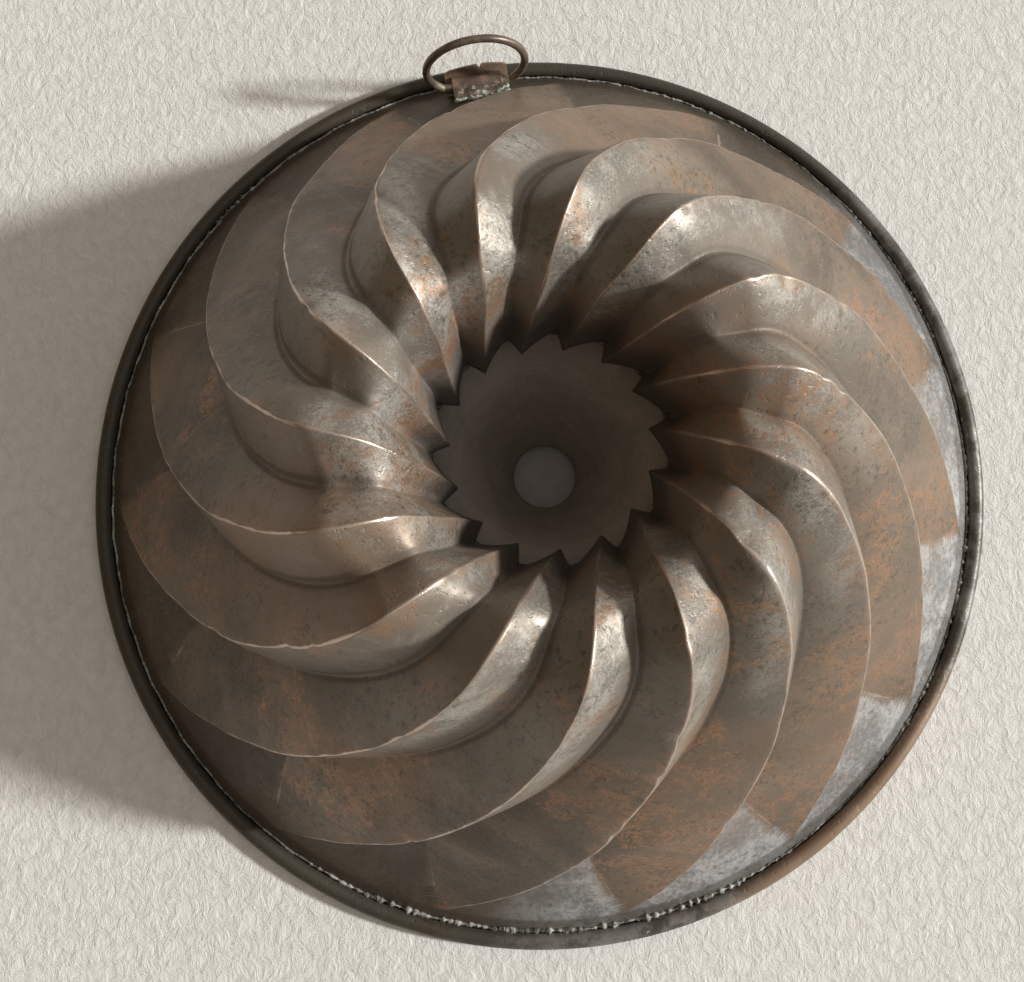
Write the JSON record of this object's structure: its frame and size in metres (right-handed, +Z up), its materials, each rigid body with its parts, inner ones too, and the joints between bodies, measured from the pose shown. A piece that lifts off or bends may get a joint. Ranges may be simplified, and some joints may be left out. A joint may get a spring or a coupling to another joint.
{
  "type": "turks head cake mould",
  "caption": "Ring-shaped cake mould of raised sheet with sweeping flutes, a rolled rim, a tapered chimney and a hanging ring in a soldered lug.",
  "frame": {"origin": "on the mould's own axis, in the plane under the rim bead", "axes": "+Z up out of the crown, +Y towards the hanging ring, +X to the right with the ring at the top, seen from above the crown"},
  "size_m": [0.24, 0.24, 0.1012],
  "materials": {
    "aged_copper": "copper with a brown-grey patina, worn to orange in patches and bright along the ridges",
    "rim_iron": "dull iron wire, hidden in the rim",
    "tube_copper": "copper darkened almost to black-brown",
    "old_solder": "dull grey solder",
    "lug_copper": "brown copper with pale green at its foot",
    "green_solder": "solder under pale green verdigris",
    "ring_brass": "brown brass wire, rubbed pale in the lug"
  },
  "bodies": {
    "mould": {"fluted_shell": "aged_copper", "rim_wire": "rim_iron", "chimney_tube": "tube_copper", "chimney_solder": "old_solder", "ring_lug": "lug_copper", "lug_solder": "green_solder"},
    "ring": {"hanging_ring": "ring_brass"}
  },
  "joints": [
    {"name": "ring_swing", "type": "hinge", "parent": "mould", "child": "ring", "pos_m": [0, 0.11168, 0.00932], "axis": [1, 0, 0], "range_deg": [-105, 36]}
  ]
}
